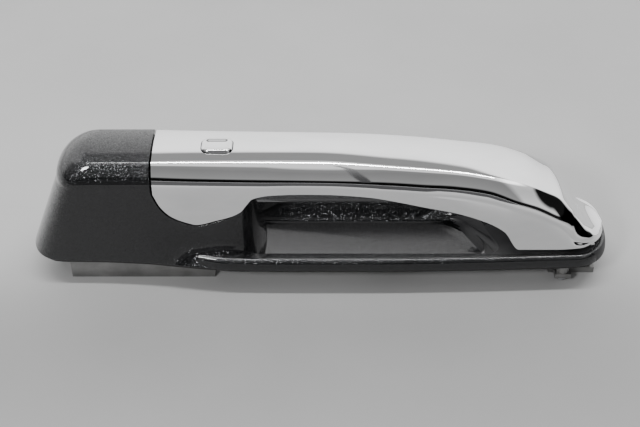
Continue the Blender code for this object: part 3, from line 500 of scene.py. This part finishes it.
def cap_column(share):
    """One column of the cap from the seat, up the flank, over the crease to the middle of its top."""
    guess = cap_point(share, CREASE_TOP, CREASE_TOP)[0]
    top = cap_top(guess)
    column = []
    for i in range(FOOT_ROWS + 1):
        z = SEAT + (EDGE_TOP - SEAT) * i / FOOT_ROWS
        column.append((*cap_point(share, z, top), z))
    fillet = 0.9
    for i in range(1, UPPER_ROWS + 1):
        z = EDGE_TOP + (top - fillet - EDGE_TOP) * i / UPPER_ROWS
        column.append((*cap_point(share, z, top), z))
    edge = cap_point(share, top, top)
    spine = (min(max(edge[0], -97.0), PARTING), 0.0)

    def crown(f):
        return edge[0] + (spine[0] - edge[0]) * f, edge[1] * (1 - f), top + crown_rise(top) * (1 - (1 - f) ** 2)

    below, corner, above = column[-1], (*edge, top), crown(fillet / 11)
    column += [bent(below, corner, above, t) for t in (0.25, 0.5, 0.75, 1.0)]
    for i in range(1, CROWN_ROWS + 1):
        column.append(crown(fillet / 11 + (1 - fillet / 11) * i / CROWN_ROWS))
    return column


def collar_top(x):
    """Height of the U-shaped parting edge on the collar's side."""
    xs, zs = U_LINE
    return float(np.interp(x, xs, zs))


def u_line():
    """The flank's edge moved out by the gap, as sampled X and Z."""
    xs = np.linspace(-69.1, -30.0, 200)
    zs = np.array([flank_edge(x) for x in xs])
    slope = np.gradient(zs, xs)
    length = np.sqrt(1 + slope ** 2)
    moved_x = xs + U_GAP * slope / length
    moved_z = zs - U_GAP / length
    keep = (moved_x > PARTING + 0.02) & (moved_z < COLLAR_TOP + 0.2)
    keep &= np.concatenate([[True], np.diff(moved_x) > 0])
    all_x = np.concatenate([[PARTING], moved_x[keep], [COLLAR_END + 2]])
    all_z = np.concatenate([[EDGE_TOP], moved_z[keep], [max(moved_z[keep][-1], COLLAR_TOP)]])
    return all_x, all_z


U_LINE = u_line()


def collar_point(share, z):
    """Point on the collar's front half: share 0 is the parting plane, 1 the middle of its right end."""
    straight = 0.52
    if share < straight:
        x = PARTING + (COLLAR_CENTRE - PARTING) * share / straight
        return x, -cap_half(x, z)
    angle = math.pi / 2 * (share - straight) / (1 - straight)
    low = max(CREASE_TOP - SHOULDER - z, 0.0) / (CREASE_TOP - SHOULDER - SEAT)
    reach = COLLAR_END - COLLAR_CENTRE + 2.5 * low ** 5
    power = 2.4
    return (COLLAR_CENTRE + reach * math.sin(angle) ** (2 / power),
            -cap_half(COLLAR_CENTRE, z) * math.cos(angle) ** (2 / power))


def collar_column(share):
    """One column of the collar: round its right end it reaches down to the floor of the well."""
    x_top = collar_point(share, 40)[0]
    top = collar_top(x_top)
    bottom = SEAT - (SEAT - WELL_FLOOR) * (1 - ease(13.5, 17.5, -collar_point(share, SEAT)[1]))
    heights = [bottom + (top - bottom) * i / FOOT_ROWS for i in range(FOOT_ROWS + 1)]
    return [(*collar_point(share, z), z) for z in heights]


def mirrored(columns):
    """The front half's columns and their mirror images, as two lists."""
    return columns, [[(x, -y, z) for x, y, z in column] for column in columns]


def make_base_skin():
    """The tall cap and the collar round the strap's foot."""
    cap = mirrored([cap_column(i / CAP_COLUMNS) for i in range(CAP_COLUMNS + 1)])
    collar = mirrored([collar_column(i / COLLAR_COLUMNS) for i in range(COLLAR_COLUMNS + 1)])
    skin = add("base_skin", joined_mesh("base_skin", [*cap, *collar], (-90, -60, 90)), PAINT, "base", 40)
    add_wall(skin, WALL).use_even_offset = False
    round_edges(skin, 0.4, 40)
    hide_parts("base_housing")


def rim_outline():
    """Outline of the rim: its left end is tucked inside the collar."""
    tuck = smooth([(-56, 1.6), (-45, 0)])
    xs = np.linspace(-66, RIM_CENTRE, 90)
    front = [(x, tuck(x) - base_half(x)) for x in xs]
    right = []
    length, width, power = HALF_LENGTH - RIM_CENTRE, base_half(RIM_CENTRE), 2.3
    for i in range(1, 60):
        angle = -math.pi / 2 + math.pi * i / 60
        right.append((RIM_CENTRE + length * math.cos(angle) ** (2 / power),
                      width * math.copysign(abs(math.sin(angle)) ** (2 / power), math.sin(angle))))
    return front + right + [(x, -y) for x, y in reversed(front)]


def make_rim():
    """Rim, deck and finger well as one surface, from the outer edge in to the middle of the well's floor."""
    outer = resample(rim_outline(), RIM_POINTS)
    loops = []

    def ring(points, heights):
        loops.append(np.column_stack([points, heights]))

    back = np.array([ease(-6, 18, y) for y in outer[:, 1]])
    profile = ((0.0, SEAT, 0), (0.02, SEAT + 0.5, 0), (0.2, 16.0, 0.3), (0.5, 17.2, 0.7), (0.9, 18.1, 1.0),
               (1.3, 18.6, 1.2), (1.7, 18.88, 1.4), (2.1, RIM_TOP, 1.4), (2.5, 18.93, 1.4), (2.9, 18.75, 1.5),
               (3.4, 18.5, 1.6), (5.0, 17.85, 2.0))
    for inset, z, lift in profile:
        ring(offset(outer, inset), z + back * lift)

    def well(left, right, slant, front, rear, radius, z, lift=0.0):
        """A ring of the well: its right side leans, further right at the front by the slant."""
        middle = (left + right) / 2
        outline = rounded_rectangle(right - left, rear - front, radius, (middle, (front + rear) / 2), 24)
        points = resample(outline, RIM_POINTS)
        share = np.clip((points[:, 0] - middle) / (right - middle), 0, 1)
        points[:, 0] += share * slant * ((rear + front) / 2 - points[:, 1]) / (rear - front)
        ring(points, z + lift * np.array([ease(-6, 16, y) for y in points[:, 1]]))

    well(-36.0, 73.2, 14.0, -15.6, 15.9, 7.6, DECK_TOP - 1.5, 3.1)
    well(-36.0, 72.8, 14.0, -15.3, 15.6, 7.4, DECK_TOP - 1.7, 3.0)
    well(-36.0, 72.4, 14.0, -15.0, 15.4, 7.2, DECK_TOP - 2.2, 2.8)
    well(-36.0, 70.2, 13.0, -14.4, 13.4, 6.4, WELL_FLOOR + 1.9)
    well(-36.0, 69.0, 13.0, -14.2, 12.9, 6.2, WELL_FLOOR + 0.8)
    well(-36.0, 67.8, 13.0, -14.0, 12.3, 6.0, WELL_FLOOR + 0.2)
    well(-36.0, 66.6, 13.0, -13.6, 11.6, 5.6, WELL_FLOOR)
    mesh = ring_mesh("base_rim", loops, (-1,), (30, 0, 60))
    rim = add("base_rim", mesh, PAINT, "base", 40)
    # between the well and the strap's foot the faces past a slanted line get black plastic: painted shade, standing
    # in for the dark that the strap's foot and leg throw into the well
    mesh.materials.append(BLACK)
    for face in mesh.polygons:
        x, y, z = (c / MM for c in face.center)
        if x > 66.5 - 0.516 * y and abs(y) < 17.6 and z < RIM_TOP - 0.4:
            face.material_index = 1
    add_wall(rim, RIM_WALL)
    cut(rim, "pivot_slot", prism_mesh(rounded_rectangle(19.4, 23.2, 1.2, (109.7, 0)), 5, 30), 40)
    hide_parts("base_housing")


# ---------------------------------------------------------------- strap
def lower_half(x):
    """Half-width of the flank's lower edge."""
    if x < 50:
        return cap_half(x, flank_edge(x)) if x < -20 else FLANK
    return foot_half(x)


def strap_section(x, side_of_creases):
    """(half-width, height) pairs from the crown's middle, over one crease, down to the flank's lower edge."""
    top, low, foot = crease_height(x), flank_edge(x), lower_half(x)
    room = foot - min(0.8 + 1.4 * ease(104, 112, x), foot / 2)
    front = min(crease_front(x), room)
    behind = max(min(crease_back(x), room), -0.55 * front)
    crease, other = (front, behind) if side_of_creases < 0 else (behind, front)
    middle = (crease - other) / 2
    rise = CROWN * min((crease - middle) / 10, 1)
    drop = max(min(SHOULDER, (top - low) * 0.75), 0.2)
    blend = ease(40, 70, x)
    side = FLANK * (1 - blend) + (crease + (foot - crease) * 0.82) * blend
    fillet = min(1.0, (crease - middle) * 0.4, drop * 0.3)

    def crown(t):
        return middle + (crease - middle) * t, top + rise * (1 - t * t)

    def shoulder(t):
        return crease + (side - crease) * (1 - (1 - t) ** 2), top - drop * t

    points = [crown(i / 14 * (1 - fillet / (crease - middle))) for i in range(15)]
    below = shoulder(fillet / drop)
    start, corner = points[-1], (crease, top)
    points += [bent(start, corner, below, t) for t in (0.2, 0.4, 0.6, 0.8)]
    points += [shoulder(fillet / drop + (1 - fillet / drop) * i / 20) for i in range(21)]
    base = top - drop
    for i in range(1, 15):
        t = i / 14
        z = base + (low - base) * t
        straight = side + (foot - side) * (2 * t - t * t) if x > 40 else 0
        flank = cap_half(x, z) if x < -20 else FLANK
        points.append((flank * (1 - blend) + straight * blend if blend > 0 else flank, z))
    return nose(x, points, low) if x > NOSE else points


def nose(x, points, low):
    """Lowers the section towards the tip, so that the strap closes like the front of a boat."""
    reach = (x - NOSE) / (STRAP_TIP - NOSE)
    share = math.sqrt(max(1 - reach ** 4, 0.0))
    return [(w, low + (z - low) * share) for w, z in points]


def strap_stations():
    """X positions: close together at the tip, even elsewhere, with the foot's steep left edge followed finely."""
    xs = []
    for start, end, count in ((STRAP_START, -52, 46), (-51.4, -26, 60), (-25.4, 76, 120), (76.4, 86, 40),
                              (86.6, 100, 26)):
        xs += list(np.linspace(start, end, count))
    xs += [100 + (STRAP_TIP - 100) * math.sin(math.pi / 2 * i / 70) for i in range(1, 71)]
    return xs


def make_strap_cover():
    """The chrome shell, with the hole for the lock button."""
    halves = [[[(x, side * w, z) for w, z in strap_section(x, side)] for x in strap_stations()] for side in (-1, 1)]
    mesh = joined_mesh("strap_cover", halves, (0, -30, 90))
    relax(mesh, 107, 12)
    cover = add("chrome_cover", mesh, CHROME, "strap", 50)
    # the wall thins out towards the tip, where the sheet is folded too tightly for its full thickness
    walls = cover.vertex_groups.new(name="wall")
    for v in mesh.vertices:
        walls.add([v.index], 1 - (1 - TIP_WALL) * ease(100, 108, v.co.x / MM), "REPLACE")
    add_wall(cover, STRAP_SKIN).vertex_group = "wall"
    hole = rounded_rectangle(BUTTON_SIZE[0] + 0.7, BUTTON_SIZE[1] + 0.7, 3.2, BUTTON)
    cut(cover, "button_hole", prism_mesh(hole, 56, 72), 50)
    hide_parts("strap_cover")


def make_button():
    """Raised button with rounded edges and a shallow dished top."""
    top = crease_height(BUTTON[0]) + CROWN + 1.0
    profile = [(0, -3.2), (0, -1.0), (0.0, -0.75), (0.06, -0.5), (0.2, -0.27), (0.42, -0.1), (0.7, -0.02), (1.0, 0),
               (1.3, -0.05), (1.7, -0.2), (2.1, -0.38), (2.6, -0.47), (3.2, -0.5)]
    loops = []
    for inset, dz in profile:
        outline = rounded_rectangle(BUTTON_SIZE[0] - 2 * inset, BUTTON_SIZE[1] - 2 * inset, max(3 - inset * 0.8, 0.6),
                                    BUTTON, 12)
        loops.append([(x, y, top + dz) for x, y in outline])
    button = add("button_cap", ring_mesh("lock_button", loops), CHROME, "lock_button", 50)
    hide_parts("lock_button")


def wire_mesh(name, route, radius, sides=12):
    """A round wire along points in millimetres, closed at both ends."""
    points = [Vector(p) for p in route]
    rings = []
    side = Vector((0, 0, 1))
    for i, point in enumerate(points):
        along = (points[min(i + 1, len(points) - 1)] - points[max(i - 1, 0)]).normalized()
        side = (side - along * side.dot(along)).normalized()
        other = along.cross(side)
        angles = [2 * math.pi * k / sides for k in range(sides)]
        rings.append([point + (side * math.cos(a) + other * math.sin(a)) * radius for a in angles])
    return ring_mesh(name, rings)


def make_spring():
    """Torsion spring: the coils stay fixed between the frame and the bellcrank, and the last leg goes with the
    bellcrank.
    """
    x, z = CRANK
    wire, mean, turns, pitch, start_y = 0.6, 5.4, 3.25, 1.4, 4.6
    steps = int(turns * 48)
    coil = []
    for i in range(steps + 1):
        angle = math.pi - 2 * math.pi * turns * i / steps
        coil.append((x + mean * math.cos(angle), start_y + pitch * turns * i / steps, z + mean * math.sin(angle)))
    end_y = coil[-1][1]
    head = [(x - mean, start_y, z - 9.0 + 0.75 * i) for i in range(12)]
    tail = [(x + 4, end_y, z + 5.0), (x + 8.5, end_y, z + 3.4), (x + 10.4, end_y - 2, z + 2.4),
            (x + 10.8, 0.5, z + 2.0)]
    coils = add("spring_coils", wire_mesh("spring_coils", head + coil, wire), SPRING, None)
    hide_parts("return_spring")
    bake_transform(coils)
    leg = add("spring_leg", wire_mesh("spring_leg", coil[-2:] + tail, wire), SPRING, "bellcrank")
    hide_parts("return_spring")


def dress_cad_nodes():
    """Every node that stays gets its material, and a small radius on its edges unless it is the lead, the spring or
    the strap's back.
    """
    slots = {row["node"]: row["material_slot"] for row in frame["record"]["subparts"]}
    for name, obj in nodes.items():
        if obj.hide_render:
            continue
        obj.data.materials.clear()
        obj.data.materials.append(SLOT_LOOKS[slots[name]])
        if name in ("strap_lead", "return_spring", "strap_back"):
            continue
        round_edges(obj, 0.15, 50, 2)


def flat_piece(name, corners, material):
    """One face with a material, in metres."""
    mesh = bpy.data.meshes.new(name)
    mesh.from_pydata(corners, [], [tuple(range(len(corners)))])
    mesh.materials.append(material)
    piece = bpy.data.objects.new(name, mesh)
    bpy.context.scene.collection.objects.link(piece)
    return piece


def make_studio():
    """Pale table with a painted soft shadow in front of the handle, a white softbox behind and above, a dim grey
    room, and a strip light overhead.
    """
    made, tree, main = shader("table_top")
    mottle = noise(tree, 9, 5)
    pale = tint(tree, mottle, (0.36, 0.36, 0.36), (0.40, 0.40, 0.40))
    # painted shadow: the table's colour is darkened in a soft band just in front of the handle, where the handle's
    # shadow falls
    along = tree.nodes.new("ShaderNodeSeparateXYZ")
    tree.links.new(position(tree), along.inputs["Vector"])
    painted_shadow = tree.nodes.new("ShaderNodeFloatCurve")
    tree.links.new(spread(tree, along.outputs["Y"], 0.0, 1.0, (-0.3, 0.1)), painted_shadow.inputs["Value"])
    curve = painted_shadow.mapping.curves[0]
    for place_at, level in ((0.35, 0.86), (0.48, 0.66), (0.62, 0.62), (0.78, 0.95)):
        curve.points.new(place_at, level)
    curve.points[0].location = (0.0, 0.95)
    painted_shadow.mapping.update()
    shadowed_tone = vector_math(tree, "SCALE", pale, painted_shadow.outputs["Value"])
    tree.links.new(shadowed_tone, main.inputs["Base Color"])
    main.inputs["Roughness"].default_value = 0.6
    size = 4.0
    table = flat_piece("table", [(-size, -size, 0), (size, -size, 0), (size, size, 0), (-size, size, 0)], made)

    world = bpy.data.worlds.new("room")
    bpy.context.scene.world = world
    world.use_nodes = True
    tree = world.node_tree
    back = tree.nodes["Background"]
    place = tree.nodes.new("ShaderNodeTexCoord")
    split = tree.nodes.new("ShaderNodeSeparateXYZ")
    tree.links.new(place.outputs["Generated"], split.inputs["Vector"])

    def ramp(source, stops):
        made = tree.nodes.new("ShaderNodeValToRGB")
        while len(made.color_ramp.elements) < len(stops):
            made.color_ramp.elements.new(0.5)
        for element, (place_at, grey) in zip(made.color_ramp.elements, stops):
            element.position = place_at
            element.color = (grey, grey, grey, 1)
        tree.links.new(source, made.inputs["Fac"])
        return made.outputs["Color"]

    # grey levels from straight down (0) to straight up (1): in front of the handle, then behind it
    front = ramp(split.outputs["Z"], ((0.0, 0.004), (0.16, 0.004), (0.20, 0.22), (0.23, 0.34), (0.6, 0.26),
                                      (0.72, 0.3), (0.78, 1.1), (1.0, 1.1)))
    behind = ramp(split.outputs["Z"], ((0.0, 0.75), (0.2, 0.95), (0.70, 1.12), (0.765, 1.05), (0.80, 0.20),
                                       (0.92, 0.20), (0.94, 0.65), (1.0, 0.65)))
    # the front grows bright to the right, then ends in a dark wall
    right = ramp(split.outputs["X"], ((0.40, 1.0), (0.52, 2.6), (0.74, 2.6), (0.80, 0.03), (1.0, 0.03)))
    side = ramp(split.outputs["Y"], ((0.12, 0.0), (0.3, 1.0)))
    mixed = tree.nodes.new("ShaderNodeMix")
    mixed.data_type = "RGBA"
    tree.links.new(side, mixed.inputs["Factor"])
    tree.links.new(vector_math(tree, "MULTIPLY", front, right), mixed.inputs["A"])
    tree.links.new(vector_math(tree, "SCALE", behind, 1.7), mixed.inputs["B"])
    tree.links.new(mixed.outputs["Result"], back.inputs["Color"])
    back.inputs["Strength"].default_value = 1.0

    def softbox(name, where, look_at, width, height, power):
        light = bpy.data.lights.new(name, "AREA")
        light.shape = "RECTANGLE"
        light.size, light.size_y = width, height
        light.energy = power
        lamp = bpy.data.objects.new(name, light)
        lamp.location = where
        lamp.rotation_euler = (Vector(look_at) - Vector(where)).to_track_quat("-Z", "Y").to_euler()
        bpy.context.scene.collection.objects.link(lamp)

    # a black card lying in front and a narrow dark figure behind it, seen in the chrome only
    card = [(-1.0, -0.17), (-1.0, -1.2), (1.2, -1.2), (1.2, -0.62), (0.24, -0.62), (0.07, -0.17)]
    flag = flat_piece("black_card", [(x, y, 0.002) for x, y in card], BLACK)
    stand = flat_piece("dark_figure", [(0.062, -0.5, 0.12), (0.078, -0.5, 0.12), (0.078, -0.5, 1.1),
                                       (0.062, -0.5, 1.1)], BLACK)
    for piece in (flag, stand):
        piece.visible_camera = piece.visible_diffuse = piece.visible_shadow = False

    softbox("overhead_strip", (0, -0.10, 1.3), (0, 0, 0.03), 1.3, 0.05, 16)
    softbox("front_lamp", (-0.42, -0.63, 0.61), (-0.1, 0, 0.05), 0.16, 0.12, 5.0)

    camera = bpy.data.objects.new("camera", bpy.data.cameras.new("camera"))
    bpy.context.scene.collection.objects.link(camera)
    elevation, distance, aim = math.radians(39), 0.5, Vector((0, 0, 0.034))
    camera.location = aim + distance * Vector((0, -math.cos(elevation), math.sin(elevation)))
    camera.rotation_euler = (math.pi / 2 - elevation, 0, 0)
    camera.data.lens = 65.25
    camera.data.shift_y = -0.0227
    bpy.context.scene.camera = camera


make_base_skin()
make_rim()
make_strap_cover()
make_button()
make_spring()
dress_cad_nodes()
make_studio()
